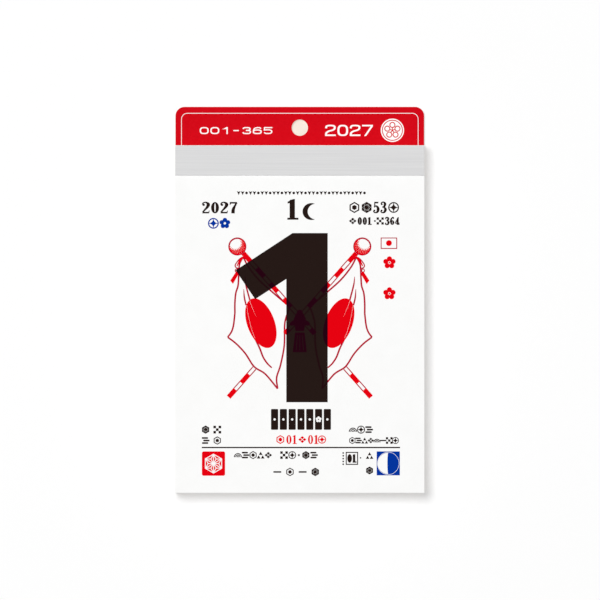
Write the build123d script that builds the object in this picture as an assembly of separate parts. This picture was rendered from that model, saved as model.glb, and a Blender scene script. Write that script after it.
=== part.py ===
"""Tear-off day calendar: a pad of day sheets stapled to a backing board under a folded tin strip.

Frame: +Z is up and the pages face -Y. The origin is the centre of the hanging hole, on the back of
the board, where the calendar lies against the wall. Lengths are in millimetres. A depth is a
distance in front of the board's back, so a point at depth d lies at y = -d.
"""

import os
from calendar import month_name, monthrange

from build123d import *

# Outline, seen from the front
WIDTH = 128.0
HEADER_HEIGHT = 19.9
STRIP_HEIGHT = 15.6
LEAF_HEIGHT = 163.0
CORNER_RADIUS = 4.7

# Hanging hole, measured down from the board's top edge
HOLE_DIAMETER = 8.4
HOLE_DROP = 10.7

# Backing board, its printed facing, and the card behind the last sheet
BOARD_THICKNESS = 2.2
FACING_THICKNESS = 0.2
END_CARD_THICKNESS = 0.6

# Sheets, one for each day of the year
PAPER_THICKNESS = 0.05
SHEET_GAP = 0.005
YEAR = 2027
FREE_DAYS = 7
CREASE_DROP = 1.2

# Tin strip, folded over the top of the pad, with a hem along its lower front edge
TIN_THICKNESS = 0.3
STRIP_INSIDE_RADIUS = 0.5
HEM_LENGTH = 4.0
FLANGE_BELOW_STAPLES = 6.5

# Flat wire staples, through the pad and the board
STAPLE_SPACING = 64.0
STAPLE_DROP = 6.5
CROWN_WIDTH = 13.0
WIRE_WIDTH = 1.2
WIRE_THICKNESS = 0.5
WIRE_INSIDE_RADIUS = 0.1
CLINCH_GAP = 3.0

# Clearances
LEG_CLEARANCE = 0.15
CROWN_CLEARANCE = 0.1
SHEET_TOP_CLEARANCE = 0.1
FLUSH_CLEARANCE = 0.05
PULL_CLEARANCE = 2.0

# Heights worked out from the outline
top_z = HOLE_DROP
strip_top_z = top_z - HEADER_HEIGHT
strip_bottom_z = strip_top_z - STRIP_HEIGHT
bottom_z = strip_bottom_z - LEAF_HEIGHT
sheet_top_z = strip_top_z - TIN_THICKNESS - STRIP_INSIDE_RADIUS - SHEET_TOP_CLEARANCE
crease_z = strip_bottom_z - CREASE_DROP
staple_z = strip_top_z - STAPLE_DROP
rear_flange_bottom_z = staple_z - FLANGE_BELOW_STAPLES

# Sheets of each month
days_in_month = {month_name[m].lower(): monthrange(YEAR, m)[1] for m in range(1, 13)}
sheet_count = sum(days_in_month.values())

# Depths worked out from the stack of layers, from the wall to the front
sheet_pitch = PAPER_THICKNESS + SHEET_GAP
facing_front = BOARD_THICKNESS + FACING_THICKNESS
rear_flange_front = facing_front + TIN_THICKNESS
end_card_front = rear_flange_front + END_CARD_THICKNESS
pad_front = end_card_front + sheet_count * sheet_pitch
crown_back = pad_front + SHEET_GAP
crown_front = crown_back + WIRE_THICKNESS
strip_front = crown_front + CROWN_CLEARANCE + TIN_THICKNESS

# Travel of a day sheet that is pulled down until it is clear of the board
pull_travel = sheet_top_z - bottom_z + PULL_CLEARANCE

# Places of the staples and of their legs, across the width
staple_xs = (-STAPLE_SPACING / 2, STAPLE_SPACING / 2)
leg_offset = (CROWN_WIDTH - WIRE_THICKNESS) / 2
leg_xs = [x + side * leg_offset for x in staple_xs for side in (-1, 1)]
leg_slot_width = WIRE_THICKNESS + 2 * (WIRE_INSIDE_RADIUS + LEG_CLEARANCE)
leg_slot_height = WIRE_WIDTH + 2 * LEG_CLEARANCE


def upright(sketch, back, thickness):
    """A sketch in X and Z as a plate whose back is at the depth given."""
    return extrude(Plane.XZ.offset(back) * sketch, amount=thickness)


def panel(top, bottom):
    """A full-width rectangle between two heights."""
    return Pos(0, (top + bottom) / 2) * Rectangle(WIDTH, top - bottom)


def leg_holes():
    """One hole for each staple leg."""
    return Sketch() + [Pos(x, staple_z) * Rectangle(leg_slot_width, leg_slot_height) for x in leg_xs]


def board_outline():
    """The board's outline, with rounded top corners, the hanging hole and the leg holes."""
    blank = panel(top_z, bottom_z)
    blank = fillet(blank.vertices().group_by(Axis.Y)[-1], CORNER_RADIUS)
    return blank - Circle(HOLE_DIAMETER / 2) - leg_holes()


def backing_board():
    """Grey board, with a groove pressed into its back by each pair of clinched legs."""
    board = upright(board_outline(), 0, BOARD_THICKNESS)
    groove = Rectangle(CROWN_WIDTH + 2 * LEG_CLEARANCE, leg_slot_height)
    depth = FLUSH_CLEARANCE + WIRE_THICKNESS + FLUSH_CLEARANCE
    return board - [upright(Pos(x, staple_z) * groove, 0, depth) for x in staple_xs]


def printed_facing():
    """Printed paper glued over the whole front of the board."""
    return upright(board_outline(), BOARD_THICKNESS, FACING_THICKNESS)


def end_card():
    """Card behind the last sheet, held by the same staples."""
    return upright(panel(sheet_top_z, bottom_z) - leg_holes(), rear_flange_front, END_CARD_THICKNESS)


def binding_strip():
    """Tin channel: hem, front flange, top web, and a rear flange that the staples pass through."""
    hem_y = -(pad_front + SHEET_GAP + TIN_THICKNESS / 2)
    front_y = -(strip_front - TIN_THICKNESS / 2)
    rear_y = -(facing_front + TIN_THICKNESS / 2)
    turn_radius = (hem_y - front_y) / 2
    turn_bottom_z = strip_bottom_z + TIN_THICKNESS / 2
    turn_z = turn_bottom_z + turn_radius
    web_z = strip_top_z - TIN_THICKNESS / 2
    hem = Line((hem_y, strip_bottom_z + HEM_LENGTH), (hem_y, turn_z))
    turn = ThreePointArc((hem_y, turn_z), (hem_y - turn_radius, turn_bottom_z), (front_y, turn_z))
    channel = FilletPolyline(
        (front_y, turn_z),
        (front_y, web_z),
        (rear_y, web_z),
        (rear_y, rear_flange_bottom_z),
        radius=STRIP_INSIDE_RADIUS + TIN_THICKNESS / 2,
    )
    section = trace(hem + turn + channel, TIN_THICKNESS)
    strip = extrude(Plane.YZ * section, amount=WIDTH / 2, both=True)
    return strip - upright(leg_holes(), facing_front, TIN_THICKNESS)


def staple(x):
    """One staple: crown on the first sheet, legs through to the back, tips clinched flush."""
    tip = CLINCH_GAP / 2
    clinch_y = -(FLUSH_CLEARANCE + WIRE_THICKNESS / 2)
    crown_y = -(crown_back + WIRE_THICKNESS / 2)
    wire = FilletPolyline(
        (-tip, clinch_y),
        (-leg_offset, clinch_y),
        (-leg_offset, crown_y),
        (leg_offset, crown_y),
        (leg_offset, clinch_y),
        (tip, clinch_y),
        radius=WIRE_INSIDE_RADIUS + WIRE_THICKNESS / 2,
    )
    flat_wire = extrude(trace(wire, WIRE_THICKNESS), amount=WIRE_WIDTH / 2, both=True)
    return Pos(x, 0, staple_z) * flat_wire


def sheet_outline(top, bottom):
    """Part of a day sheet, slit where the staple legs tear out as the sheet is pulled down."""
    outline = panel(top, bottom)
    slit_bottom = staple_z - leg_slot_height / 2
    if top < slit_bottom:
        return outline
    slit = Rectangle(leg_slot_width, sheet_top_z - slit_bottom)
    slit_middle = (sheet_top_z + slit_bottom) / 2
    return outline - [Pos(x, slit_middle) * slit for x in leg_xs]


def sheet_back(day):
    """Depth of the back of a day's sheet, the first day being in front."""
    return end_card_front + SHEET_GAP + (sheet_count - day) * sheet_pitch


def day_sheet(day, top=sheet_top_z, bottom=bottom_z):
    """The sheet of one day of the year, or the part of it between two heights."""
    return upright(sheet_outline(top, bottom), sheet_back(day), PAPER_THICKNESS)


def month_sheets():
    """The sheets that stay in the pad, one group of separate sheets for each month."""
    last_sheet = day_sheet(sheet_count)
    groups = {}
    day = 0
    for month, days in days_in_month.items():
        kept = [d for d in range(day + 1, day + days + 1) if d > FREE_DAYS]
        moves = [Pos(0, sheet_back(sheet_count) - sheet_back(d), 0) for d in kept]
        groups[f"{month}_sheets"] = Compound([move * last_sheet for move in moves])
        day += days
    return groups


def free_sheets():
    """The first days' sheets, which move: the front one is parted at its crease."""
    sheets = {
        "day_sheet_01_held_edge": day_sheet(1, bottom=crease_z),
        "day_sheet_01_leaf": day_sheet(1, top=crease_z),
    }
    for day in range(2, FREE_DAYS + 1):
        sheets[f"day_sheet_{day:02d}"] = day_sheet(day)
    return sheets


def calendar():
    """Every piece of the calendar under its node's name."""
    return {
        "backing_board": backing_board(),
        "printed_facing": printed_facing(),
        "end_card": end_card(),
        "binding_strip": binding_strip(),
        "binding_staples": Compound([staple(x) for x in staple_xs]),
        **free_sheets(),
        **month_sheets(),
    }


def main():
    os.makedirs("parts", exist_ok=True)
    for name, piece in calendar().items():
        export_step(piece, f"parts/{name}.step")


if __name__ == "__main__":
    main()
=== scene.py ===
"""Looks of the tear-off day calendar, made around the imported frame.

The frame is in metres, +Z up. The pages face -Y, and the origin is the centre of the hanging hole.
Print is drawn flat, in millimetres: a page's print from the middle of the page's lower edge, and the
header's print from the centre of the hole.
"""

import math
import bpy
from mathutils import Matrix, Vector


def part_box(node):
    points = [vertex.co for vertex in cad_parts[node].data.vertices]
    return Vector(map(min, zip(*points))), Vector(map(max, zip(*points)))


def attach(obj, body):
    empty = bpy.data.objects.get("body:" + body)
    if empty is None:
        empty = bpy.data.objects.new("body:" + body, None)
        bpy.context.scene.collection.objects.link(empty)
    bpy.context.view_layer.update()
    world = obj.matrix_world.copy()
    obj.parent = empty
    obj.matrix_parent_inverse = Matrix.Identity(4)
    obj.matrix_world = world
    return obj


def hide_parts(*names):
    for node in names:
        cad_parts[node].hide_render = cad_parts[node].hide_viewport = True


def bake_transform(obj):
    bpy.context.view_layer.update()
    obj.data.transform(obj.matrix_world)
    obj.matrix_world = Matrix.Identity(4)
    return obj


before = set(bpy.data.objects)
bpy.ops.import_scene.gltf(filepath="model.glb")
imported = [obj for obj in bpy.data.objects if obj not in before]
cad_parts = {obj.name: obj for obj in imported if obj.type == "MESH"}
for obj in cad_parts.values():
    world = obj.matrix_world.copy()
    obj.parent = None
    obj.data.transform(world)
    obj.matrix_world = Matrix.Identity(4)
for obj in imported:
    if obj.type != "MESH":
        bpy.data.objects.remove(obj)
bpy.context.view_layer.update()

from calendar import month_name
from datetime import date

import bpy
import numpy as np
from mathutils import Matrix, Vector
from mathutils.geometry import delaunay_2d_cdt

MM = 0.001

# The year of the pages, and the new moon that the moon marks count from
YEAR = 2027
DAYS_IN_YEAR = 365
NEW_MOON = date(YEAR, 1, 8)
SYNODIC_DAYS = 29.53

# Bodies of the frame, which bear the names of their nodes, apart from the one that holds all the rest
BACKING = "backing"
HELD_EDGE = "day_sheet_01_held_edge"
LEAF = "day_sheet_01_leaf"
FREE_DAYS = 7
MONTHS = [month_name[number].lower() for number in range(1, 13)]

# Boxes of the frame that the sheets and the print are set on
page_low, page_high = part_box(LEAF)
facing_low, facing_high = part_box("printed_facing")
strip_low, strip_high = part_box("binding_strip")
PAPER = page_high.y - page_low.y
SHEET_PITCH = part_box("day_sheet_03")[0].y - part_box("day_sheet_02")[0].y

# The front sheet has close rows over this length below its crease
BEND_LENGTH = 5.0 * MM
BEND_ROWS = 20
LEAF_ROWS = 12

# How unevenly the sheets of the pad are stacked: each by itself, and in slow drifts through the pad
STACK_JITTER = 0.03 * MM
STACK_DRIFT = 0.12 * MM
DRIFT_STEP = 0.11
STACK_SEED = 11
STACK_SEED_STEP = 5

# Print stands proud of the paper by less than the gap between two sheets, and is sunk a little into it
INK_RISE = 0.004 * MM
INK_SINK = 0.004 * MM

# Points of the print nearer than this, in millimetres, are one
MERGE_DISTANCE = 1e-5

# Inks, in the order in which one covers another; the overprints are black over red and over fine lines
DEEP_RED = 0
RED = 1
BLUE = 2
BLACK = 3
OVERPRINT = 4
FINE_OVERPRINT = 5
WHITE = 6

# Camera: a long lens, straight on, framing a square of this width about this point, in millimetres
FRAME_WIDTH = 308.3
FRAME_MIDDLE = (0.1, -88.7)
LENS = 1500.0
SENSOR = 36.0

# Lamps: where each stands from the middle of the frame and its width, in metres, and its level
LAMPS = {
    "key_lamp": ((-0.68, -5.0, 0.68), 1.37, 0.74),
    "right_lamp": ((0.9, 0.5, 0.9), 0.5, 0.70),
    "left_lamp": ((-0.9, 0.5, -0.9), 0.5, 0.70),
}
WORLD_LEVEL = 0.30


# Flat shapes, each a list of polygons


def ellipse(x, y, across, up=None, tilt=0.0, count=40):
    """An ellipse of two radii, turned by a tilt in degrees."""
    up = across if up is None else up
    steps = [2 * math.pi * step / count for step in range(count)]
    outline = [(across * math.cos(angle), up * math.sin(angle)) for angle in steps]
    return placed(turned([outline], tilt), x, y)


def arc(x, y, radius, start, end, count=24):
    """Points along an arc, from a start angle to an end angle in degrees."""
    points = []
    for step in range(count + 1):
        angle = math.radians(start + (end - start) * step / count)
        points.append((x + radius * math.cos(angle), y + radius * math.sin(angle)))
    return points


def box(left, bottom, right, top):
    """An upright rectangle."""
    return [[(left, bottom), (right, bottom), (right, top), (left, top)]]


def rounded_box(left, bottom, right, top, radius):
    """An upright rectangle with round corners."""
    corners = [
        (right - radius, top - radius, 0),
        (left + radius, top - radius, 90),
        (left + radius, bottom + radius, 180),
        (right - radius, bottom + radius, 270),
    ]
    return [[point for x, y, start in corners for point in arc(x, y, radius, start, start + 90, 6)]]


def regular(x, y, radius, sides, start=90.0):
    """A regular polygon with a corner at the start angle."""
    return [arc(x, y, radius, start, start + 360, sides)[:-1]]


def bands(first, second):
    """The triangles between two lines of as many points."""
    triangles = []
    for i in range(len(first) - 1):
        triangles.append([first[i], second[i], second[i + 1]])
        triangles.append([first[i], second[i + 1], first[i + 1]])
    return triangles


def hoop(outer, inner):
    """The area between two closed outlines of as many points."""
    return bands(outer + outer[:1], inner + inner[:1])


def ring(x, y, across, up, side, cap, count=40):
    """An oval ring, as thick as side at its left and right and as cap at its top and bottom."""
    outer = ellipse(x, y, across, up, count=count)[0]
    return hoop(outer, ellipse(x, y, across - side, up - cap, count=count)[0])


def frame_line(left, bottom, right, top, width):
    """The outline of an upright rectangle, drawn inside it."""
    inner = box(left + width, bottom + width, right - width, top - width)[0]
    return hoop(box(left, bottom, right, top)[0], inner)


def smooth(points, steps):
    """A smooth line through points of any number of values each."""
    rows = [Vector(point) for point in points]
    rows = [2 * rows[0] - rows[1], *rows, 2 * rows[-1] - rows[-2]]
    line = []
    for a, b, c, d in zip(rows, rows[1:], rows[2:], rows[3:]):
        for step in range(steps):
            t = step / steps
            bend = (2 * a - 5 * b + 4 * c - d) * t * t + (3 * b - 3 * c + d - a) * t * t * t
            line.append(b + ((c - a) * t + bend) / 2)
    return [*line, rows[-2]]


def ribbon(points, steps=8, bold=0.0):
    """A curved stroke through points that each give a place and a half width, bolder by a width."""
    line = smooth(points, steps)
    left = []
    right = []
    for i, (x, y, half) in enumerate(line):
        before = line[max(i - 1, 0)]
        after = line[min(i + 1, len(line) - 1)]
        along = Vector((after[0] - before[0], after[1] - before[1])).normalized()
        reach = half + bold / 2
        left.append((x - along.y * reach, y + along.x * reach))
        right.append((x + along.y * reach, y - along.x * reach))
    return bands(left, right)


def stroke(points, width, steps=8):
    """A curved stroke of one width."""
    return ribbon([(x, y, width / 2) for x, y in points], steps)


def straight(start, end, width):
    """A straight stroke between two points."""
    return stroke([start, end], width, 1)


def placed(polygons, x=0.0, y=0.0, wide=1.0, tall=None):
    """Polygons scaled about the origin and then moved."""
    tall = wide if tall is None else tall
    return [[(x + wide * px, y + tall * py) for px, py in polygon] for polygon in polygons]


def turned(polygons, degrees):
    """Polygons turned about the origin."""
    cos = math.cos(math.radians(degrees))
    sin = math.sin(math.radians(degrees))
    return [[(x * cos - y * sin, x * sin + y * cos) for x, y in polygon] for polygon in polygons]


def mirrored(polygons):
    """Polygons turned over about the upright line through the origin."""
    return placed(polygons, wide=-1.0, tall=1.0)


def upside_down(polygons, x, y):
    """Polygons given a half turn about a point."""
    return placed(polygons, 2 * x, 2 * y, -1.0)


# Numerals


def serif_foot(left, right, bold):
    """The flat foot of a serif numeral."""
    return box(left, 0, right, 0.045 + bold)


def serif_six(bold):
    """The numeral 6, which is turned for 9."""
    tail = [
        (0.085, 0.33, 0.075),
        (0.10, 0.58, 0.070),
        (0.17, 0.80, 0.050),
        (0.29, 0.95, 0.028),
        (0.38, 0.96, 0.024),
        (0.44, 0.86, 0.020),
    ]
    bowl = ring(0.26, 0.30, 0.25, 0.30, 0.14 + bold, 0.04 + bold)
    return bowl + ribbon(tail, bold=bold) + ellipse(0.395, 0.83, 0.075)


def serif_bowl(start, bold):
    """The open bowl of 3 and 5, from its start round to its ball."""
    bowl = [
        *start,
        (0.405, 0.25, 0.085),
        (0.33, 0.09, 0.060),
        (0.20, 0.03, 0.028),
        (0.08, 0.07, 0.024),
        (0.03, 0.20, 0.020),
    ]
    return ribbon(bowl, bold=bold) + ellipse(0.095, 0.22, 0.082)


def serif_digit(digit, bold):
    """A serif numeral, one unit tall and about half as wide, with its strokes bolder by a width."""
    if digit == "0":
        return ring(0.26, 0.5, 0.26, 0.5, 0.155 + bold, 0.045 + bold)
    if digit == "1":
        stem = [(0.17 - bold, 0.03), (0.33, 0.03), (0.33, 1.0), (0.28, 1.0), (0.17 - bold, 0.95)]
        flag = [(0.28, 1.0), (0.04, 0.87), (0.04, 0.83 - bold), (0.22, 0.88 - bold)]
        return [stem, flag] + serif_foot(0.03, 0.47, bold)
    if digit == "2":
        neck = [
            (0.04, 0.77, 0.022),
            (0.10, 0.92, 0.026),
            (0.25, 0.972, 0.030),
            (0.395, 0.87, 0.070),
            (0.415, 0.72, 0.082),
            (0.34, 0.53, 0.062),
            (0.18, 0.30, 0.036),
            (0.05, 0.10, 0.024),
        ]
        spur = [(0.47, 0), (0.51, 0.26), (0.475, 0.26), (0.42, 0.135)]
        foot = [(0.02, 0), *spur, (0.09, 0.135), (0.02, 0.06)]
        return ribbon(neck, bold=bold) + ellipse(0.115, 0.745, 0.088) + [foot]
    if digit == "3":
        upper = [
            (0.05, 0.80, 0.020),
            (0.11, 0.93, 0.026),
            (0.24, 0.972, 0.030),
            (0.365, 0.88, 0.065),
            (0.375, 0.75, 0.078),
            (0.31, 0.585, 0.050),
            (0.16, 0.53, 0.022),
        ]
        lower = [(0.16, 0.53, 0.022), (0.31, 0.50, 0.040), (0.405, 0.38, 0.075)]
        return ribbon(upper, bold=bold) + ellipse(0.11, 0.78, 0.08) + serif_bowl(lower, bold)
    if digit == "4":
        stem = [(0.285 - bold, 0.03), (0.425, 0.03), (0.425, 1.0), (0.385, 1.0), (0.285 - bold, 0.84)]
        slope = straight((0.385, 0.98), (0.03, 0.26), 0.05 + bold)
        return [stem] + box(0.0, 0.235 - bold, 0.52, 0.285) + slope + serif_foot(0.18, 0.52, bold)
    if digit == "5":
        bar = [(0.12 + bold, 0.86), (0.42, 0.86), (0.44, 1.0)]
        flag = [(0.07, 0.5), (0.105 + bold, 0.5), *bar, (0.09, 1.0)]
        start = [(0.085, 0.50, 0.020), (0.16, 0.60, 0.028), (0.27, 0.62, 0.040), (0.395, 0.46, 0.078)]
        return [flag] + serif_bowl(start, bold)
    if digit == "6":
        return serif_six(bold)
    if digit == "7":
        top = [(0.46, 0.86), (0.50, 0.93), (0.50, 1.0), (0.03, 1.0)]
        bar = [(0.02, 0.74), (0.055, 0.74), (0.11, 0.86), *top]
        stem = [(0.485, 0.94, 0.020), (0.36, 0.66, 0.045), (0.26, 0.36, 0.075), (0.235, 0.0, 0.085)]
        return [bar] + ribbon(stem, bold=bold)
    if digit == "8":
        upper = ring(0.25, 0.745, 0.205, 0.255, 0.115 + bold, 0.04 + bold)
        return upper + ring(0.26, 0.275, 0.25, 0.275, 0.14 + bold, 0.045 + bold)
    return upside_down(serif_six(bold), 0.26, 0.5)


def serif_number(text, x, y, height, stretch=1.0, pitch=0.60, bold=0.0):
    """A row of serif numerals that starts at x and stands at y."""
    wide = height * stretch
    row = []
    for index, digit in enumerate(text):
        row += placed(serif_digit(digit, bold), x + index * pitch * wide, y, wide, height)
    return row


def squared_loop(x, y, across, up, width, power=2.8, count=48):
    """A closed stroke along a squared oval."""
    outlines = []
    for grow in (width / 2, -width / 2):
        points = []
        for x_share, y_share in ellipse(0, 0, 1, count=count)[0]:
            px = math.copysign(abs(x_share) ** (2 / power), x_share)
            py = math.copysign(abs(y_share) ** (2 / power), y_share)
            points.append((x + (across + grow) * px, y + (up + grow) * py))
        outlines.append(points)
    return hoop(*outlines)


def heavy_six(wide, tall, heavy):
    """The heavy numeral 6, which is turned for 9."""
    tail = [(0.0, 0.30), (0.03, 0.62), (0.20, 0.90), (0.52, 1.0), (0.84, 0.97), (0.97, 0.80)]
    line = [(x * wide, y * tall) for x, y in tail]
    return squared_loop(wide / 2, 0.3 * tall, wide / 2, 0.3 * tall, heavy) + stroke(line, heavy)


def heavy_digit(digit, width, height, heavy):
    """A heavy plain numeral that fills a box, drawn with a stroke of one width."""
    wide = width - heavy
    tall = height - heavy
    half = heavy / 2

    def along(*points):
        return stroke([(x * wide, y * tall) for x, y in points], heavy)

    if digit == "0":
        shape = squared_loop(wide / 2, tall / 2, wide / 2, tall / 2, heavy)
    elif digit == "1":
        stem = 0.72 * wide
        flag = 0.70 * tall
        shape = box(stem - half, -half, stem + half, tall + half)
        slope = [(0.1 * wide, flag), (stem - half, flag + half), (stem, tall + half)]
        shape += [[*slope, (stem - half, tall + half)]]
    elif digit == "2":
        arch = [(0.0, 0.72), (0.06, 0.93), (0.30, 1.0), (0.70, 1.0), (0.96, 0.92), (0.98, 0.70)]
        shape = along(*arch, (0.78, 0.54), (0.32, 0.42), (0.05, 0.26), (0.0, 0.06))
        shape += box(-half, -half, wide + half, half)
    elif digit == "3":
        waist = (0.40, 0.53)
        start = (0.02, 0.78)
        shape = along(start, (0.16, 0.97), (0.45, 1.0), (0.80, 0.97), (0.95, 0.78), (0.80, 0.57), waist)
        bowl = [(0.84, 0.49), (1.0, 0.27), (0.86, 0.04), (0.48, 0.0)]
        shape += along(waist, *bowl, (0.14, 0.03), (0.0, 0.22))
    elif digit == "4":
        stem = 0.72 * wide
        bar = 0.30 * tall
        shape = box(stem - half, -half, stem + half, tall + half)
        shape += box(-half, bar - half, wide + half, bar + half)
        foot = 0.35 * heavy
        peak = bar + half + (stem - half - foot) * (tall - bar) / (stem - half)
        slope = [(-half, bar + half), (foot, bar + half), (stem - half, peak), (stem - half, tall + half)]
        shape += [[*slope, (stem - heavy, tall + half)]]
    elif digit == "5":
        start = (0.25 * heavy / wide, 0.59)
        bowl = [start, (0.40, 0.63), (0.78, 0.60), (0.98, 0.44), (0.98, 0.19), (0.78, 0.03)]
        shape = along(*bowl, (0.48, 0.0), (0.20, 0.03), (0.02, 0.19))
        shape += box(0, tall - half, wide + half, tall + half)
        waist = 0.59 * tall - 0.96 * half
        shape += [[(-0.3 * heavy, waist), (0.4 * heavy, waist), (heavy, tall + half), (0, tall + half)]]
    elif digit == "6":
        shape = heavy_six(wide, tall, heavy)
    elif digit == "7":
        shape = box(-half, tall - half, wide + half, tall + half)
        leg = 1.05 * heavy
        foot = 0.18 * width - half
        head = [(wide + half, tall - half), (wide + half - leg, tall - half)]
        shape += [[(foot, -half), (foot + leg, -half), *head]]
    elif digit == "8":
        shape = squared_loop(wide / 2, 0.76 * tall, 0.44 * wide, 0.24 * tall, heavy)
        shape += squared_loop(wide / 2, 0.26 * tall, 0.5 * wide, 0.26 * tall, heavy)
    else:
        shape = upside_down(heavy_six(wide, tall, heavy), wide / 2, tall / 2)
    return placed(shape, half, half)


# Small traditional ornaments, each one unit across, about the origin


def plum():
    """Five round petals."""
    return [ellipse(x, y, 0.2, count=16)[0] for x, y in regular(0, 0, 0.29, 5)[0]]


def waves():
    """Three rising arcs, one inside the other."""
    shape = []
    for radius in (0.44, 0.26, 0.08):
        shape += stroke(arc(0, -0.26, radius, 0, 180, 8), 0.12, 2)
    return shape


def tortoise():
    """A hexagon in a hexagon."""
    outer = regular(0, 0, 0.50, 6)[0]
    return hoop(outer, regular(0, 0, 0.37, 6)[0]) + regular(0, 0, 0.23, 6)


def hemp_leaf(line=0.085):
    """A six-pointed leaf star of thin strokes in a hexagon."""
    corners = regular(0, 0, 0.46, 6)[0]
    shape = hoop(regular(0, 0, 0.50, 6)[0], regular(0, 0, 0.50 - 1.2 * line, 6)[0])
    for corner, after in zip(corners, corners[1:] + corners[:1]):
        middle = ((corner[0] + after[0]) / 3, (corner[1] + after[1]) / 3)
        for start, end in (((0, 0), corner), ((0, 0), middle), (corner, middle), (middle, after)):
            shape += straight(start, end, line)
    return shape


def checks():
    """A square of small checks."""
    side = 0.31
    square = box(-0.5, -0.5, 0.5, 0.5)
    cells = [(-1, -1), (1, -1), (0, 0), (-1, 1), (1, 1)]
    return [placed(square, x * side, y * side, side)[0] for x, y in cells]


def diamonds():
    """Four small diamonds set as one."""
    shape = []
    for x, y in ((-0.25, 0), (0.25, 0), (0, -0.22), (0, 0.22)):
        shape.append([(x - 0.21, y), (x, y - 0.18), (x + 0.21, y), (x, y + 0.18)])
    return shape


def treasure():
    """A ring around a four-pointed star."""
    star = []
    for x, y, start in ((0.36, 0.36, 270), (-0.36, 0.36, 360), (-0.36, -0.36, 90), (0.36, -0.36, 180)):
        star += arc(x, y, 0.33, start, start - 90, 6)
    return ring(0, 0, 0.48, 0.48, 0.11, 0.11) + [star]


def scales():
    """Three triangles."""
    feet = ((0, 0.02), (-0.25, -0.42), (0.25, -0.42))
    return [[(x - 0.23, y), (x + 0.23, y), (x, y + 0.40)] for x, y in feet]


def mist():
    """Three staggered bars with round ends."""
    shape = []
    for x, y in ((-0.08, 0.30), (0.10, 0.0), (-0.06, -0.30)):
        shape += rounded_box(x - 0.38, y - 0.10, x + 0.38, y + 0.10, 0.095)
    return shape


def bar():
    """One level bar."""
    return box(-0.46, -0.09, 0.46, 0.09)


def dot():
    """A small round dot."""
    return ellipse(0, 0, 0.12, count=16)


def ornaments(makers, x, y, size, pitch_x=0.0, pitch_y=0.0):
    """A row of ornaments, from the middle of the first one."""
    row = []
    for index, maker in enumerate(makers):
        row += placed(maker(), x + index * pitch_x, y + index * pitch_y, size)
    return row


# Print of the pages


class Artwork:
    """Flat print: areas of ink, where a reversed area turns ink to bare paper and bare paper to ink."""

    def __init__(self):
        self.areas = []

    def fill(self, ink, polygons):
        """Adds areas of ink."""
        self.areas += [(ink, False, polygon) for polygon in polygons]

    def reverse(self, ink, polygons):
        """Adds reversed areas."""
        self.areas += [(ink, True, polygon) for polygon in polygons]

    def marks(self, ink, makers, x, y, size, **pitch):
        """Adds a row of ornaments."""
        self.fill(ink, ornaments(makers, x, y, size, **pitch))

    def number(self, ink, text, x, y, height, **form):
        """Adds a row of serif numerals."""
        self.fill(ink, serif_number(text, x, y, height, **form))


def crescent(radius, bite, shift):
    """A crescent moon about the origin, open to the right."""
    meet = (radius**2 - bite**2 + shift**2) / (2 * shift)
    outer = math.degrees(math.acos(meet / radius))
    inner = math.degrees(math.acos((meet - shift) / bite))
    return bands(arc(0, 0, radius, outer, 360 - outer), arc(shift, 0, bite, inner, 360 - inner))


def moon_light(day, radius):
    """The lit part of the moon's disc on a day."""
    phase = (day - NEW_MOON).days % SYNODIC_DAYS / SYNODIC_DAYS
    side = 1 if phase < 0.5 else -1
    bulge = math.cos(2 * math.pi * phase)
    limb = [(side * x, y) for x, y in arc(0, 0, radius, -90, 90)]
    return bands(limb, [(x * bulge, y) for x, y in limb])


def ray(x, angle, start, end, width):
    """A stroke that points away from a point on the level line, between two distances from it."""
    tips = [arc(x, 0, reach, angle, angle, 1)[0] for reach in (start, end)]
    return straight(*tips, width)


def ball_finial(x, y, radius):
    """The toothed shade in the ball on top of a flag pole, the ball's outline, and hatching in the shade."""
    line = 0.8
    light = 0.77 * radius
    shift = 0.43 * radius
    turn = 56
    tooth = 0.7
    tooth_width = 0.4
    tooth_overlap = 0.1
    hatch_width = 0.05
    hatch_gap = 0.2
    shade = crescent(radius - line / 2, light, shift)
    for angle in range(90, 271, 15):
        shade += ray(shift, angle, light - tooth, light + tooth_overlap, tooth_width)
    hatching = []
    for angle in range(110, 251, 10):
        cos = math.cos(math.radians(angle))
        rim = math.sqrt(radius**2 - shift**2 * (1 - cos**2)) - shift * cos
        hatching += ray(shift, angle, light + hatch_gap, rim - line, hatch_width)
    outline = ring(x, y, radius, radius, line, line)
    return placed(turned(shade, turn), x, y), outline, placed(turned(hatching, turn), x, y)


def striped_pole(top, foot, first, last, width, band):
    """The red bands and the outline of a pole, from a first to a last distance below its top."""
    line = 0.55
    overlap = 0.55
    start = Vector(top)
    along = (Vector(foot) - start).normalized()
    across = Vector((-along.y, along.x)) * (width - line) / 2
    outline = []
    for side in (-1, 1):
        edge = start + across * side
        outline += straight(edge + along * first, edge + along * last, line)
    stripes = []
    for number in range(1, math.ceil(last / band), 2):
        begin = max(first, number * band - overlap)
        end = min(last, (number + 1) * band)
        if begin < end:
            stripes += straight(start + along * begin, start + along * end, width)
    return stripes, outline


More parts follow.
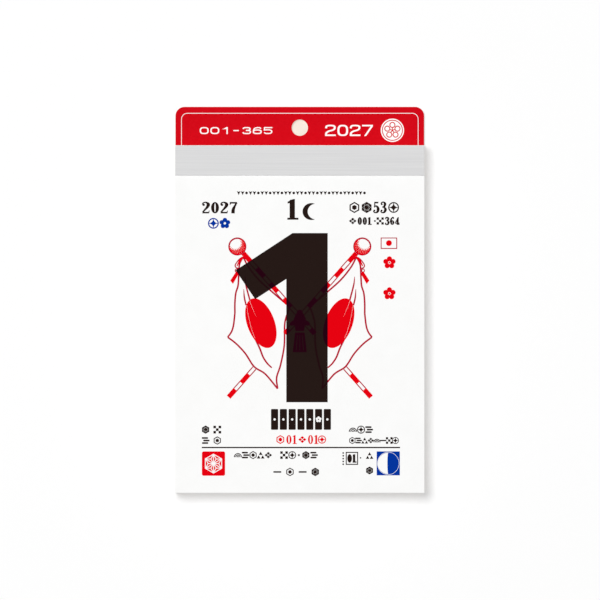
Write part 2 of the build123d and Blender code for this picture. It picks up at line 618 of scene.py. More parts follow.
def crossed_flags(art):
    """Two draped flags on crossed poles: the right one, and the same turned over on the left."""
    ball = (32.1, 126.6)
    ball_radius = 4.66
    pole_foot = (-36.4, 49.4)
    pole_width = 2.55
    band = 5.2
    upper_pole = (ball_radius - 0.2, 59.9)
    lower_pole = (83.5, 103.5)
    edge_width = 0.86
    bow_edge_width = 0.6
    disc_fold_width = 0.08
    tied = (29.1, 121.2)
    hem_turn = (33.35, 92.2)
    outer = (37.05, 80.0)
    lowest = (11.4, 53.5)
    inner = (5.2, 95.5)
    cloth_edges = [
        [tied, (31.0, 117.3), (31.45, 110.5), (31.75, 106.4), (32.9, 102.5), (33.35, 97.4), hem_turn],
        [hem_turn, (34.1, 86.0), (35.2, 82.6), outer],
        [outer, (32.7, 76.65), (28.0, 71.6), (23.6, 65.0), (18.8, 61.9), (16.2, 59.4), lowest],
        [lowest, (11.9, 59.2), (9.9, 65.7), (8.0, 75.7), (7.8, 86.0), (6.95, 90.5), inner],
        [tied, (26.25, 115.9), (21.2, 109.6), (15.05, 104.0), inner],
    ]
    long_fold_end = [(18.85, 69.8, 0.44), (16.7, 66.5, 0.42), (14.4, 64.3, 0.36)]
    cloth_folds = [
        [(28.8, 104.7, 0.15), (28.5, 100.5, 0.38), (27.6, 96.4, 0.40)],
        [(23.2, 79.5, 0.4), (20.65, 74.4, 0.44), *long_fold_end],
        [(28.2, 111.1, 0.15), (27.65, 106.6, 0.38), (25.65, 99.0, 0.42)],
    ]
    long_disc_fold = [(27.4, 96.9), (26.55, 91.5), (25.55, 87.1), (24.45, 83.1), (23.0, 79.5)]
    short_disc_fold = [(26.05, 99.8, 0.05), (24.8, 96.0, 0.045), (22.45, 90.5, 0.012)]
    bow_edge = [(29.0, 121.3), (30.8, 120.3), (32.5, 118.3), (33.2, 116.9), (32.8, 115.8), (31.5, 115.3)]
    bow_tail = [(31.25, 112.7), (32.6, 113.9), (35.75, 109.1), (34.35, 107.35)]
    bow_loop = [(29.0, 121.3, 0.25), (30.3, 119.9, 0.60), (31.4, 118.3, 0.42), (32.3, 116.5, 0.28)]
    bow_ring = ring(32.5, 114.2, across=0.95, up=1.1, side=0.5, cap=0.5, count=16)
    disc = ellipse(20.0, 87.2, across=7.03, up=13.4, tilt=-20.6, count=64)
    solid, fine, hatching = ball_finial(*ball, ball_radius)
    for first, last in (upper_pole, lower_pole):
        stripes, outline = striped_pole(ball, pole_foot, first, last, pole_width, band)
        solid += stripes
        fine += outline
    fine += stroke(bow_edge, bow_edge_width) + bow_ring
    for edge in cloth_edges:
        fine += stroke(edge, edge_width)
    for fold in cloth_folds:
        fine += ribbon(fold)
    solid += ribbon(bow_loop) + [bow_tail] + disc
    bare = hatching + stroke(long_disc_fold, disc_fold_width) + ribbon(short_disc_fold)
    art.fill(DEEP_RED, fine + mirrored(fine))
    art.fill(RED, solid + mirrored(solid))
    art.reverse(RED, bare + mirrored(bare))


def tassel(art):
    """The knot and tassel where the poles cross."""
    loops = ellipse(-3.3, 87.3, 2.0, 1.2, 25) + ellipse(3.3, 87.3, 2.0, 1.2, -25)
    knot = [[(-0.9, 94.0), (-3.1, 89.4), (-2.2, 83.2), (2.2, 83.2), (3.1, 89.4), (0.9, 94.0)]]
    skirt = [[(-2.4, 82.4), (-3.6, 72.3), (3.6, 72.3), (2.4, 82.4)]]
    art.fill(RED, loops + knot + skirt)
    for x in (-1.2, 0.0, 1.2):
        art.reverse(RED, straight((x, 81.0), (1.6 * x, 73.2), 0.25))


def day_numeral(day):
    """The large numeral in the middle of a page."""
    bottom = 46.55
    top = 133.5
    if day.day > 1:
        left = -27.0
        return placed(heavy_digit(str(day.day), width=56.0, height=top - bottom, heavy=19.5), left, bottom)
    stem_left = -6.94
    stem_right = 14.34
    stem = [(-3.75, top), (stem_right, top), (stem_right, bottom), (stem_left, bottom), (stem_left, 109.9)]
    flag = [(-3.75, top), (-33.0, 114.35), (-22.95, 99.5), (stem_left, 109.9)]
    return [stem, flag]


def week_blocks(art, day, ink):
    """Seven blocks for the days of the week, with a blossom in the block of the day."""
    left = -14.8
    right = 16.0
    bottom = 32.4
    top = 43.1
    width = 3.7
    corner = 0.5
    blossom = 3.2
    hole_radius = 0.6
    week = 7
    pitch = (right - left - width) / (week - 1)
    today = day.isoweekday() % week
    for index in range(week):
        x = left + index * pitch
        middle = (x + width / 2, (bottom + top) / 2)
        art.fill(ink, rounded_box(x, bottom, x + width, top, corner))
        if index == today:
            art.reverse(ink, placed(plum(), *middle, blossom))
        else:
            art.reverse(ink, ellipse(*middle, hole_radius, count=16))


def margin_row(art):
    """A fine row of arrowheads and dots along the top, pointing the way that the page is pulled."""
    left = -31.4
    middle = 154.1
    pitch = 2.02
    count = 33
    reach = 0.95
    dot_radius = 0.7
    tip = middle - 1.1
    notch = middle + 0.6
    barbs = middle + reach
    for index in range(count):
        x = left + index * pitch
        if index % 3 == 2:
            art.fill(BLACK, ellipse(x, middle, dot_radius, count=12))
        else:
            art.fill(BLACK, [[(x - reach, barbs), (x, tip), (x + reach, barbs), (x, notch)]])


def top_rows(art, day):
    """The year, the month, and the counts of weeks and days along the top of a page."""
    margin_row(art)
    art.number(BLACK, str(YEAR), -50.3, 143.6, 5.85, stretch=1.34, bold=0.06)
    art.marks(BLUE, (treasure, plum), -44.4, 138.5, 5.8, pitch_x=5.9)
    month = str(day.month)
    left = -6.8 if len(month) == 1 else -13.4
    art.number(BLACK, month, left, 140.35, 10.65, stretch=1.22, pitch=0.52, bold=0.05)
    art.fill(BLACK, placed(crescent(radius=4.35, bite=4.0, shift=2.2), 5.95, 144.55, wide=1.05, tall=1.0))
    week_row = 146.65
    art.marks(BLACK, (tortoise, hemp_leaf), 28.05, week_row, 5.8, pitch_x=6.3)
    art.number(BLACK, f"{day.isocalendar()[1]:02d}", 37.7, 143.8, 5.75, stretch=1.08, bold=0.06)
    art.marks(BLACK, (treasure,), 48.2, week_row, 5.8)
    count = day.timetuple().tm_yday
    count_row = 139.7
    art.marks(BLACK, (diamonds,), 27.2, count_row, 4.3)
    art.number(BLACK, f"{count:03d}", 29.7, 137.7, 4.0, stretch=1.08, bold=0.09)
    art.marks(BLACK, (dot, checks), 38.6, count_row, 4.0, pitch_x=2.7)
    art.number(BLACK, f"{DAYS_IN_YEAR - count:03d}", 43.8, 137.7, 4.0, stretch=1.08, bold=0.09)


def holiday_marks(art):
    """A small flag in a box and two red blossoms, beside the numeral."""
    art.fill(DEEP_RED, frame_line(41.55, 125.35, 50.05, 131.2, 0.48))
    art.fill(RED, ellipse(45.8, 128.35, 1.5))
    for y in (118.3, 102.4):
        art.fill(RED, placed(plum(), 46.05, y, 6.7) + ellipse(46.05, y, 0.45, count=12))


def lower_rows(art, day, ink):
    """The week, the short date, and the rows of ornaments down to the rule."""
    week_blocks(art, day, ink)
    date_row = 27.4
    art.marks(RED, (tortoise,), -10.0, date_row, 4.6)
    art.number(RED, f"{day.month:02d}", -6.9, 25.1, 4.6, stretch=1.1, bold=0.03)
    art.marks(RED, (diamonds,), 1.3, date_row, 4.5)
    art.number(RED, f"{day.day:02d}", 4.2, 25.1, 4.6, stretch=1.1, bold=0.03)
    art.marks(RED, (treasure,), 11.4, date_row, 4.4)
    upper_row = 32.5
    lower_row = 26.9
    art.marks(BLACK, (hemp_leaf, checks), -48.4, upper_row, 4.3, pitch_x=6.0)
    art.marks(BLACK, (mist, tortoise), -48.4, lower_row, 4.3, pitch_x=6.0)
    art.marks(BLACK, (waves, treasure, mist), 27.3, upper_row, 4.3, pitch_x=4.15)
    narrow = (tortoise, mist, scales, diamonds, waves, bar, checks, treasure)
    art.marks(BLACK, narrow, 27.0, lower_row, 3.7, pitch_x=3.16)
    art.fill(BLACK, box(-50.35, 22.96, 51.5, 23.64))


def foot_row(art, day):
    """The seal, two rows of ornaments, a boxed count and the moon, below the rule."""
    art.fill(RED, rounded_box(-50.3, 8.8, -38.4, 21.3, 0.9))
    art.reverse(RED, placed(hemp_leaf(0.042), -44.35, 15.05, 10.2))
    upper_row = 19.4
    lower_row = 10.75
    art.marks(BLACK, (waves, mist, tortoise, scales, diamonds), -31.8, upper_row, 4.2, pitch_x=3.9)
    art.marks(BLACK, (checks, treasure), -8.1, upper_row, 4.2, pitch_x=4.2)
    art.marks(BLACK, (dot,), -0.5, upper_row, 4.4)
    art.marks(BLACK, (hemp_leaf, mist), 3.1, upper_row, 4.2, pitch_x=4.2)
    art.marks(BLACK, (bar, tortoise, bar, hemp_leaf), -11.55, lower_row, 4.4, pitch_x=6.5)
    art.fill(BLACK, frame_line(23.6, 14.4, 29.95, 21.05, width=0.52))
    boxed_cycle = 28
    boxed = f"{day.day % boxed_cycle:02d}"
    art.number(BLACK, boxed, 24.4, 15.5, 4.4, stretch=1.05, pitch=0.56, bold=0.11)
    dot_pitch = 1.45
    for index in range(5):
        art.fill(BLACK, ellipse(22.3, 20.5 - dot_pitch * index, 0.45, count=10))
    art.fill(BLACK, ellipse(31.2, 18.0, 0.4, count=10))
    art.marks(BLACK, (scales, hemp_leaf), 35.85, 19.2, 4.1, pitch_y=-7.7)
    moon = (45.45, 15.15)
    art.fill(BLUE, box(39.5, 9.0, 51.4, 21.3))
    art.reverse(BLUE, placed(moon_light(day, 5.45), *moon))
    art.reverse(BLUE, ring(*moon, 5.65, 5.85, 0.18, 0.18, 72))


def page_print(day):
    """Everything printed on the page of one day."""
    art = Artwork()
    ink = {5: BLUE, 6: RED}.get(day.weekday(), BLACK)
    if day == date(YEAR, 1, 1):
        crossed_flags(art)
        tassel(art)
        holiday_marks(art)
    top_rows(art, day)
    art.fill(ink, day_numeral(day))
    lower_rows(art, day, ink)
    foot_row(art, day)
    return art


# Print of the header


def keyline(half_width, top, radius, bottom, width):
    """A line up both sides and over the top, with round corners, open below."""
    x = half_width - radius
    y = top - radius
    edges = []
    for grow in (width / 2, -width / 2):
        reach = radius + grow
        over = arc(x, y, reach, 0, 90, 8) + arc(-x, y, reach, 90, 180, 8)
        edges.append([(x + reach, bottom), *over, (-x - reach, bottom)])
    return bands(*edges)


def header_number(text, left, bottom, height, width, pitch, heavy, flat):
    """A row of wide numerals, their level strokes thinner by a share; a dash stands for those left out."""
    row = []
    for index, digit in enumerate(text):
        x = left + index * pitch
        if digit == "-":
            middle = bottom + height / 2
            half = heavy * flat / 2
            row += box(x + 0.2 * width, middle - half, x + 0.8 * width, middle + half)
        else:
            row += placed(heavy_digit(digit, width, height / flat, heavy), x, bottom, 1.0, flat)
    return row


def header_print():
    """White print on the header: a keyline, the run of days, the year and a blossom roundel."""
    art = Artwork()
    art.fill(WHITE, keyline(half_width=60.9, top=7.4, radius=3.0, bottom=strip_high.z / MM, width=0.30))
    run = f"001-{DAYS_IN_YEAR}"
    days = header_number(run, -51.5, -3.3, height=3.6, width=4.6, pitch=5.46, heavy=0.68, flat=0.85)
    year = header_number(str(YEAR), 13.0, -4.3, height=5.75, width=5.5, pitch=6.36, heavy=1.02, flat=0.77)
    middle = (47.65, -1.35)
    art.fill(WHITE, days + year + ellipse(*middle, 6.0, count=64))
    art.reverse(WHITE, ring(*middle, across=5.4, up=5.4, side=0.45, cap=0.45))
    for x, y in regular(*middle, 2.75, 5)[0]:
        stalk_end = ((x + middle[0]) / 2, (y + middle[1]) / 2)
        art.reverse(WHITE, ring(x, y, across=1.55, up=1.55, side=0.5, cap=0.5))
        art.reverse(WHITE, straight(middle, stalk_end, width=0.46))
    return art


# Finishes


def new_finish(name):
    """A new material, its node tree and its shader."""
    material = bpy.data.materials.new(name)
    material.use_nodes = True
    return material, material.node_tree, material.node_tree.nodes["Principled BSDF"]


def feed(tree, socket, value):
    """Links an input to another node's output, or sets its value: a colour is given without its alpha."""
    if isinstance(value, bpy.types.NodeSocket):
        tree.links.new(value, socket)
    elif socket.type == "RGBA":
        socket.default_value = (*value, 1.0)
    else:
        socket.default_value = value


def add(tree, kind, inputs=None, **settings):
    """A new node with its settings, and its inputs set to values or linked to other nodes' outputs."""
    node = tree.nodes.new(kind)
    for name, value in settings.items():
        setattr(node, name, value)
    for key, value in (inputs or {}).items():
        feed(tree, node.inputs[key], value)
    return node


def calc(tree, operation, *values):
    """A number worked out from others."""
    return add(tree, "ShaderNodeMath", dict(enumerate(values)), operation=operation).outputs["Value"]


def place(tree, stretch=(1.0, 1.0, 1.0)):
    """The place on the object, in metres of the frame, stretched along its axes."""
    coordinates = add(tree, "ShaderNodeTexCoord").outputs["Object"]
    return add(tree, "ShaderNodeMapping", {"Vector": coordinates, "Scale": stretch}).outputs["Vector"]


def cloud(tree, size, detail=3.0, stretch=(1.0, 1.0, 1.0)):
    """Soft noise with features of about a size in millimetres."""
    inputs = {"Vector": place(tree, stretch), "Scale": 1 / (size * MM), "Detail": detail, "Roughness": 0.55}
    return add(tree, "ShaderNodeTexNoise", inputs).outputs["Fac"]


def spread(tree, value, low, high, start=0.3, end=0.7):
    """A value spread between a low and a high number."""
    inputs = {"Value": value, "From Min": start, "From Max": end, "To Min": low, "To Max": high}
    return add(tree, "ShaderNodeMapRange", inputs).outputs["Result"]


def blend_colours(tree, factor, low, high):
    """A colour between two, by a factor."""
    return add(tree, "ShaderNodeMix", {0: factor, 6: low, 7: high}, data_type="RGBA").outputs[2]


def mottle(tree, noise, low, high):
    """A colour that wanders between two with a noise."""
    return blend_colours(tree, spread(tree, noise, 0, 1), low, high)


def relief(tree, height, depth):
    """A bumped normal whose relief is a depth in millimetres."""
    inputs = {"Height": height, "Strength": 1.0, "Distance": depth * MM}
    return add(tree, "ShaderNodeBump", inputs).outputs["Normal"]


def paint(tree, shader, **inputs):
    """Sets or links the shader's inputs, named with underscores for spaces."""
    for name, value in inputs.items():
        feed(tree, shader.inputs[name.replace("_", " ")], value)


def page_paper():
    """Thin white offset paper, with a faint cloudy formation and fibres."""
    material, tree, shader = new_finish("page_paper")
    formation = cloud(tree, 9.0, 4.0)
    fibres = cloud(tree, 0.5, 2.0, (1.0, 1.0, 0.35))
    tone = mottle(tree, formation, (0.950, 0.950, 0.942), (0.970, 0.970, 0.964))
    paint(tree, shader, Base_Color=tone, Roughness=spread(tree, fibres, 0.62, 0.74), Specular_IOR_Level=0.2)
    paint(tree, shader, Normal=relief(tree, fibres, 0.006))
    return material


def stacked_paper():
    """The same paper in the pad, each sheet with its own tone, so that the cut edges show as layers."""
    material, tree, shader = new_finish("stacked_paper")
    own = add(tree, "ShaderNodeAttribute", attribute_name="sheet_tone").outputs["Fac"]
    fibres = cloud(tree, 0.5, 2.0, (1.0, 1.0, 0.35))
    tone = blend_colours(tree, own, (0.86, 0.855, 0.84), (0.955, 0.955, 0.945))
    paint(tree, shader, Base_Color=tone, Roughness=spread(tree, fibres, 0.66, 0.80), Specular_IOR_Level=0.15)
    return material


def ink_finish(name, solid, thin, gloss):
    """Offset ink, a little thinner in places."""
    material, tree, shader = new_finish(name)
    laydown = cloud(tree, 0.6, 3.0)
    tone = mottle(tree, laydown, solid, thin)
    roughness = spread(tree, laydown, 0.46, 0.58)
    paint(tree, shader, Base_Color=tone, Roughness=roughness, Specular_IOR_Level=gloss)
    return material


def facing_print():
    """Red printed paper under a thin satin varnish, rubbed paler along its cut edges."""
    material, tree, shader = new_finish("facing_print")
    rubbed = 0.25 * MM
    red = mottle(tree, cloud(tree, 1.4, 4.0), (0.585, 0.0014, 0.0070), (0.615, 0.0026, 0.0095))
    across = add(tree, "ShaderNodeSeparateXYZ", {"Vector": place(tree)}).outputs["X"]
    edge = spread(tree, calc(tree, "ABSOLUTE", across), 0, 1, facing_high.x - rubbed, facing_high.x)
    paler_share = calc(tree, "MULTIPLY", edge, spread(tree, cloud(tree, 0.8), 0, 0.7))
    tone = blend_colours(tree, paler_share, red, (0.78, 0.30, 0.28))
    varnish = spread(tree, cloud(tree, 6.0, 2.0), 0.30, 0.40)
    paint(tree, shader, Base_Color=tone, Roughness=varnish, Specular_IOR_Level=0.05)
    paint(tree, shader, Normal=relief(tree, cloud(tree, 0.7), 0.004))
    return material


def grey_board():
    """Grey board made of waste paper: warm grey, with pale fibres and small dark flecks."""
    material, tree, shader = new_finish("grey_board")
    body = mottle(tree, cloud(tree, 5.0, 5.0), (0.47, 0.43, 0.365), (0.55, 0.51, 0.44))
    fibres = cloud(tree, 0.7, 3.0, (1.0, 1.0, 0.3))
    pale = blend_colours(tree, spread(tree, fibres, 0, 0.6, 0.56, 0.72), body, (0.68, 0.64, 0.57))
    cells = add(tree, "ShaderNodeTexVoronoi", {"Vector": place(tree), "Scale": 1 / (2.6 * MM)})
    flecks = spread(tree, cells.outputs["Distance"], 0.7, 0, 0.03, 0.10)
    tone = blend_colours(tree, flecks, pale, (0.20, 0.18, 0.16))
    paint(tree, shader, Base_Color=tone, Roughness=spread(tree, fibres, 0.78, 0.92), Specular_IOR_Level=0.2)
    paint(tree, shader, Normal=relief(tree, fibres, 0.03))
    return material


def kraft_card():
    """Brown card behind the last sheet, with long fibres."""
    material, tree, shader = new_finish("kraft_card")
    fibres = cloud(tree, 0.6, 4.0, (1.0, 1.0, 0.25))
    tone = mottle(tree, fibres, (0.42, 0.29, 0.17), (0.52, 0.38, 0.24))
    paint(tree, shader, Base_Color=tone, Roughness=spread(tree, fibres, 0.75, 0.9), Specular_IOR_Level=0.2)
    paint(tree, shader, Normal=relief(tree, fibres, 0.02))
    return material


def tin_strip():
    """Satin tin plate: rolling streaks along its length, a fine skin, and painted highlights with wear on
    its folds.
    """
    material, tree, shader = new_finish("tin_strip")
    streaks = cloud(tree, 0.6, 4.0, (0.012, 1.0, 1.0))
    # The top and bottom folds are painted paler: a painted highlight where they turn to the light, mixed
    # with worn bare metal
    top_highlight_span = (strip_high.z - 0.7 * MM, strip_high.z - 0.1 * MM)
    low_highlight_span = (strip_low.z, strip_low.z + 0.4 * MM)
    rolled = mottle(tree, streaks, (0.675, 0.675, 0.680), (0.735, 0.735, 0.738))
    height = add(tree, "ShaderNodeSeparateXYZ", {"Vector": place(tree)}).outputs["Z"]
    top_fold_highlight = spread(tree, height, 0, 1, *top_highlight_span)
    low_fold_highlight = spread(tree, height, 0.3, 0, *low_highlight_span)
    fold_highlights = calc(tree, "MAXIMUM", top_fold_highlight, low_fold_highlight)
    paler_share = calc(tree, "MULTIPLY", fold_highlights, spread(tree, cloud(tree, 1.5), 0.45, 1.0))
    tone = blend_colours(tree, paler_share, rolled, (0.93, 0.93, 0.92))
    paint(tree, shader, Base_Color=tone, Metallic=0.55, Roughness=spread(tree, streaks, 0.36, 0.48))
    paint(tree, shader, Normal=relief(tree, cloud(tree, 0.35, 2.0), 0.004))
    return material


def staple_wire():
    """Bright flat steel wire, drawn along its length."""
    material, tree, shader = new_finish("staple_wire")
    draw = cloud(tree, 0.2, 3.0, (0.06, 0.06, 1.0))
    tone = mottle(tree, draw, (0.52, 0.52, 0.53), (0.70, 0.70, 0.70))
    paint(tree, shader, Base_Color=tone, Metallic=1.0, Roughness=spread(tree, draw, 0.24, 0.40))
    return material


# Meshes


def new_piece(name, data):
    """A new object in the scene."""
    piece = bpy.data.objects.new(name, data)
    bpy.context.scene.collection.objects.link(piece)
    return piece


def contains(polygon, x, y):
    """Which of the points, given by their places across and up, lie in a polygon."""
    inside = np.zeros(len(x), dtype=bool)
    for (ax, ay), (bx, by) in zip(polygon, polygon[1:] + polygon[:1]):
        if ay != by:
            inside ^= ((ay > y) != (by > y)) & (x < ax + (bx - ax) * (y - ay) / (by - ay))
    return inside


def top_ink(present):
    """The ink that shows where inks lie over each other, in their order: black lets red through."""
    if BLACK in present[1:]:
        return OVERPRINT if RED in present else FINE_OVERPRINT
    return present[-1]


def inked_triangles(art):
    """Points, triangles where print lies, and the ink of each triangle."""
    points = []
    edges = []
    for _, _, polygon in art.areas:
        first = len(points)
        points += [Vector(point) for point in polygon]
        last = len(points) - 1
        edges += [(index, index + 1) for index in range(first, last)] + [(last, first)]
    corners, _, triangles, *_ = delaunay_2d_cdt(points, edges, [], 0, MERGE_DISTANCE)
    middles = np.array(corners)[np.array(triangles)].mean(axis=1)
    order = np.argsort(middles[:, 0])
    across, upward = middles[order].T
    covers = [set() for _ in triangles]
    for ink, reversed_out, polygon in art.areas:
        span = slice(*np.searchsorted(across, (min(polygon)[0], max(polygon)[0])))
        for index in order[span][contains(polygon, across[span], upward[span])]:
            covers[index].add((ink, reversed_out))
    kept = []
    inks = []
    for triangle, cover in zip(triangles, covers):
        present = sorted({ink for ink, _ in cover if ((ink, False) in cover) != ((ink, True) in cover)})
        if present:
            kept.append(triangle)
            inks.append(top_ink(present))
    return corners, kept, inks


def plate(name, points, faces, front, back, finishes, slots=None):
    """A closed plate of flat faces between a front and a back, all in metres."""
    used = sorted({index for face in faces for index in face})
    renumbered = {old: new for new, old in enumerate(used)}
    faces = [[renumbered[index] for index in face] for face in faces]
    count = len(used)
    corners = [(points[index][0], y, points[index][1]) for y in (front, back) for index in used]
    owner = {(face[i - 1], face[i]): number for number, face in enumerate(faces) for i in range(len(face))}
    rims = [(a, b) for a, b in owner if (b, a) not in owner]
    behind = [[index + count for index in reversed(face)] for face in faces]
    walls = [[a, a + count, b + count, b] for a, b in rims]
    mesh = bpy.data.meshes.new(name)
    mesh.from_pydata(corners, [], [*faces, *behind, *walls])
    for finish in finishes:
        mesh.materials.append(finish)
    if slots:
        mesh.polygons.foreach_set("material_index", [*slots, *slots, *[slots[owner[rim]] for rim in rims]])
    mesh.update()
    return new_piece(name, mesh)


def print_piece(name, art, surface, bottom, body):
    """Print laid on a surface at a depth, drawn up from a height, that rides on a body."""
    points, triangles, inks = inked_triangles(art)
    used = sorted(set(inks))
    spots = [(x * MM, bottom + y * MM) for x, y in points]
    slots = [used.index(ink) for ink in inks]
    finishes = [INKS[ink] for ink in used]
    piece = plate(name, spots, triangles, surface - INK_RISE, surface + INK_SINK, finishes, slots)
    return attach(piece, body)


def sheet_lines():
    """Where the edges and the slits of a day sheet lie, across it and up it, as its CAD node has them."""
    corners = [vertex.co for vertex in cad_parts["day_sheet_02"].data.vertices]
    across = sorted({round(corner.x, 6) for corner in corners})
    upward = sorted({round(corner.z, 6) for corner in corners})
    return across, upward


def sheet_cells(across, rows, slit_bottom):
    """Points and cells of a sheet that is slit from a height upwards in every second column."""
    points = [(x, z) for z in rows for x in across]
    wide = len(across)
    cells = []
    for row in range(len(rows) - 1):
        for column in range(wide - 1):
            slit = column % 2 == 1 and rows[row] >= slit_bottom
            if not slit:
                corner = row * wide + column
                cells.append([corner, corner + 1, corner + wide + 1, corner + wide])
    return points, cells


def front_sheet():
    """The first day's sheet in one piece, with close rows over a short length below its crease."""
    across, (bottom, slit_bottom, top) = sheet_lines()
    crease = page_high.z
    bend_end = crease - BEND_LENGTH
    rows = [bottom + (bend_end - bottom) * step / LEAF_ROWS for step in range(LEAF_ROWS)]
    rows += [bend_end + BEND_LENGTH * step / BEND_ROWS for step in range(BEND_ROWS + 1)]
    points, cells = sheet_cells(across, [*rows, slit_bottom, top], slit_bottom)
    piece = plate("day_sheet_01", points, cells, page_low.y, page_high.y, [PAGE_PAPER])
    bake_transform(piece)
    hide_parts(HELD_EDGE, LEAF)
    return piece


def stack_tree():
    """Geometry nodes that stack copies of a sheet, each a little out of line, with its own tone."""
    tree = bpy.data.node_groups.new("sheet_stack", "GeometryNodeTree")
    tree.is_modifier = True
    sockets = {
        "Sheet": "NodeSocketObject",
        "Sheets": "NodeSocketInt",
        "Pitch": "NodeSocketFloat",
        "Jitter": "NodeSocketFloat",
        "Drift": "NodeSocketFloat",
        "Seed": "NodeSocketInt",
        "Finish": "NodeSocketMaterial",
    }
    for name, kind in sockets.items():
        tree.interface.new_socket(name, in_out="INPUT", socket_type=kind)
    tree.interface.new_socket("Stack", in_out="OUTPUT", socket_type="NodeSocketGeometry")
    given = add(tree, "NodeGroupInput").outputs
    step = add(tree, "ShaderNodeCombineXYZ", {"Y": given["Pitch"]}).outputs["Vector"]
    line = add(tree, "GeometryNodeMeshLine", {"Count": given["Sheets"], "Offset": step}).outputs["Mesh"]
    index = add(tree, "GeometryNodeInputIndex").outputs["Index"]
    low = calc(tree, "MULTIPLY", given["Jitter"], -1.0)
    shift = {}
    for axis, offset in (("X", 0), ("Z", 1)):
        seed = calc(tree, "ADD", given["Seed"], offset)
        inputs = {2: low, 3: given["Jitter"], "Seed": seed}
        jitter = add(tree, "FunctionNodeRandomValue", inputs, data_type="FLOAT").outputs[1]
        inputs = {"W": calc(tree, "MULTIPLY_ADD", index, DRIFT_STEP, seed), "Scale": 1.0, "Detail": 2.0}
        wave = add(tree, "ShaderNodeTexNoise", inputs, noise_dimensions="1D").outputs["Fac"]
        swing = calc(tree, "SUBTRACT", wave, 0.5)
        shift[axis] = calc(tree, "MULTIPLY_ADD", swing, given["Drift"], jitter)
    offset = add(tree, "ShaderNodeCombineXYZ", shift).outputs["Vector"]
    spots = add(tree, "GeometryNodeSetPosition", {"Geometry": line, "Offset": offset}).outputs["Geometry"]
    sheet = add(tree, "GeometryNodeObjectInfo", {"Object": given["Sheet"]}).outputs["Geometry"]
    copies = add(tree, "GeometryNodeInstanceOnPoints", {"Points": spots, "Instance": sheet})
    tone = add(tree, "FunctionNodeRandomValue", {"Seed": given["Seed"]}, data_type="FLOAT").outputs[1]
    inputs = {"Geometry": copies.outputs["Instances"], "Name": "sheet_tone", "Value": tone}
    toned = add(tree, "GeometryNodeStoreNamedAttribute", inputs, data_type="FLOAT", domain="INSTANCE")
    real = add(tree, "GeometryNodeRealizeInstances", {"Geometry": toned.outputs["Geometry"]})
    inputs = {"Geometry": real.outputs["Geometry"], "Material": given["Finish"]}
    finished = add(tree, "GeometryNodeSetMaterial", inputs).outputs["Geometry"]
    add(tree, "NodeGroupOutput", {"Stack": finished})
    return tree


def sheet_stack(tree, month, sheet, seed):
    """The sheets of a month that stay in the pad, made by the tree and kept as one mesh."""
    node = f"{month}_sheets"
    low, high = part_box(node)
    piece = new_piece(f"{month}_stack", bpy.data.meshes.new(f"{month}_line"))
    maker = piece.modifiers.new("sheet_stack", "NODES")
    maker.node_group = tree
    values = {
        "Sheet": sheet,
        "Sheets": round((high.y - low.y - PAPER) / SHEET_PITCH) + 1,
        "Pitch": SHEET_PITCH,
        "Jitter": STACK_JITTER,
        "Drift": STACK_DRIFT,
        "Seed": seed,
        "Finish": STACKED_PAPER,
    }
    for item in tree.interface.items_tree:
        if item.in_out == "INPUT":
            maker[item.identifier] = values[item.name]
    evaluated = piece.evaluated_get(bpy.context.evaluated_depsgraph_get())
    mesh = bpy.data.meshes.new_from_object(evaluated)
    piece.modifiers.clear()
    mesh.transform(Matrix.Translation((0.0, low.y, 0.0)))
    piece.data = mesh
    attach(piece, node)
    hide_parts(node)
    return piece


def pad():
    """All the sheets and their print."""
    front_sheet()
    across, rows = sheet_lines()
    points, cells = sheet_cells(across, rows, rows[1])
    sheet = plate("stack_sheet", points, cells, 0.0, PAPER, [])
    tree = stack_tree()
    for index, month in enumerate(MONTHS):
        sheet_stack(tree, month, sheet, STACK_SEED + STACK_SEED_STEP * index)
    bpy.data.objects.remove(sheet)
    pages = [(date(YEAR, 1, 1), LEAF, "day_sheet_01_print")]
    for day in range(2, FREE_DAYS + 1):
        node = f"day_sheet_{day:02d}"
        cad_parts[node].data.materials[0] = PAGE_PAPER
        pages.append((date(YEAR, 1, day), node, f"{node}_print"))
    for index, month in enumerate(MONTHS):
        first = FREE_DAYS + 1 if index == 0 else 1
        pages.append((date(YEAR, index + 1, first), f"{month}_sheets", f"{month}_print"))
    for day, body, name in pages:
        print_piece(name, page_print(day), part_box(body)[0].y, page_low.z, body)


def backing():
    """Board, facing, card, strip and staples, as the frame has them, and the header's print."""
    finishes = {
        "backing_board": grey_board(),
        "printed_facing": facing_print(),
        "end_card": kraft_card(),
        "binding_strip": tin_strip(),
        "binding_staples": staple_wire(),
    }
    for node, finish in finishes.items():
        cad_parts[node].data.materials[0] = finish
    print_piece("header_print", header_print(), facing_low.y, 0.0, BACKING)


# Stage, light and camera


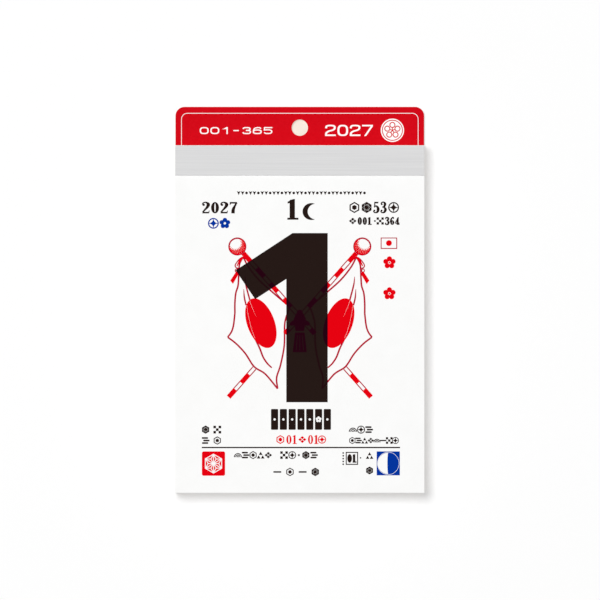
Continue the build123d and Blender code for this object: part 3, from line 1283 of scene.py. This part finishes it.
def wall():
    """A white wall that takes the shadow, with painted warm shade behind the hole, and clear from behind and
    to other light.
    """
    size = 4.0
    behind = 0.4 * MM
    painted_shade_radius = 7 * MM
    painted_shade_end = 8 * MM
    corners = [(-size, behind, -size), (size, behind, -size), (size, behind, size), (-size, behind, size)]
    mesh = bpy.data.meshes.new("wall")
    mesh.from_pydata(corners, [], [(0, 1, 2, 3)])
    material, tree, shader = new_finish("wall")
    tree.nodes.remove(shader)
    reach = add(tree, "ShaderNodeVectorMath", {0: place(tree)}, operation="LENGTH").outputs["Value"]
    # Behind the hole the wall's colours are painted darker and warm: painted shade with a painted warm
    # bounce of light
    painted_hole_shade = spread(tree, reach, 1, 0, painted_shade_radius, painted_shade_end)
    matt = blend_colours(tree, painted_hole_shade, (0.55, 0.55, 0.55), (0.50, 0.45, 0.40))
    own = blend_colours(tree, painted_hole_shade, (0.44, 0.44, 0.44), (0.40, 0.36, 0.32))
    lit = add(tree, "ShaderNodeBsdfDiffuse", {"Color": matt}).outputs["BSDF"]
    glow = add(tree, "ShaderNodeEmission", {"Color": own}).outputs["Emission"]
    white = add(tree, "ShaderNodeAddShader", {0: lit, 1: glow}).outputs["Shader"]
    clear = add(tree, "ShaderNodeBsdfTransparent").outputs["BSDF"]
    camera = add(tree, "ShaderNodeLightPath").outputs["Is Camera Ray"]
    rear = add(tree, "ShaderNodeNewGeometry").outputs["Backfacing"]
    seen = add(tree, "ShaderNodeMath", {0: camera, 1: rear}, operation="SUBTRACT", use_clamp=True)
    surface = add(tree, "ShaderNodeMixShader", {0: seen.outputs["Value"], 1: clear, 2: white})
    tree.links.new(surface.outputs["Shader"], tree.nodes["Material Output"].inputs["Surface"])
    mesh.materials.append(material)
    new_piece("wall", mesh)


def world_light(level):
    """Even light from all round, which the camera, gloss and glass see as plain white."""
    world = bpy.data.worlds.new("studio")
    bpy.context.scene.world = world
    world.use_nodes = True
    tree = world.node_tree
    tree.nodes.clear()
    plain_white = (1.0, 1.0, 1.0)
    white = add(tree, "ShaderNodeBackground", {"Color": plain_white}).outputs["Background"]
    soft = add(tree, "ShaderNodeBackground", {"Color": plain_white, "Strength": level})
    path = add(tree, "ShaderNodeLightPath").outputs
    seen = calc(tree, "MAXIMUM", path["Is Camera Ray"], path["Is Glossy Ray"])
    seen = calc(tree, "MAXIMUM", seen, path["Is Transmission Ray"])
    surface = add(tree, "ShaderNodeMixShader", {0: seen, 1: soft.outputs["Background"], 2: white})
    add(tree, "ShaderNodeOutputWorld", {"Surface": surface.outputs["Shader"]})


def lamp(name, spot, target, size, level):
    """A round soft lamp that lights a surface facing it at a level, where one is plain white."""
    reach = Vector(target) - Vector(spot)
    light = bpy.data.lights.new(name, "AREA")
    light.shape = "DISK"
    light.size = size
    light.energy = level * math.pi**2 * reach.length_squared
    piece = new_piece(name, light)
    piece.location = spot
    piece.rotation_euler = reach.to_track_quat("-Z", "Y").to_euler()
    piece.visible_camera = False
    piece.visible_glossy = False


def studio():
    """The wall, the light and the camera."""
    bpy.context.scene.view_settings.view_transform = "Standard"
    wall()
    world_light(WORLD_LEVEL)
    middle = Vector((FRAME_MIDDLE[0] * MM, page_low.y, FRAME_MIDDLE[1] * MM))
    for name, (offset, size, level) in LAMPS.items():
        lamp(name, middle + Vector(offset), middle, size, level)
    camera = new_piece("camera", bpy.data.cameras.new("camera"))
    camera.data.lens = LENS
    camera.data.sensor_width = SENSOR
    distance = FRAME_WIDTH * MM * LENS / SENSOR
    camera.location = middle - Vector((0.0, distance, 0.0))
    camera.rotation_euler = (math.pi / 2, 0.0, 0.0)
    camera.data.clip_end = 3 * distance
    bpy.context.scene.camera = camera


PAGE_PAPER = page_paper()
STACKED_PAPER = stacked_paper()
INKS = {
    DEEP_RED: ink_finish("deep_red_ink", (0.435, 0.0, 0.0225), (0.475, 0.0009, 0.0270), 0.02),
    RED: ink_finish("red_ink", (0.770, 0.0, 0.0045), (0.795, 0.0010, 0.0060), 0.02),
    BLUE: ink_finish("blue_ink", (0.0, 0.030, 0.318), (0.001, 0.038, 0.340), 0.03),
    BLACK: ink_finish("black_ink", (0.0085, 0.0025, 0.0012), (0.0120, 0.0050, 0.0035), 0.1),
    OVERPRINT: ink_finish("overprint", (0.0140, 0.0, 0.0035), (0.0175, 0.0002, 0.0050), 0.03),
    FINE_OVERPRINT: ink_finish("fine_overprint", (0.0095, 0.0008, 0.0016), (0.0125, 0.0016, 0.0030), 0.05),
    WHITE: ink_finish("white_print", (0.93, 0.92, 0.91), (0.95, 0.94, 0.93), 0.1),
}
backing()
pad()
studio()

bpy.context.view_layer.update()
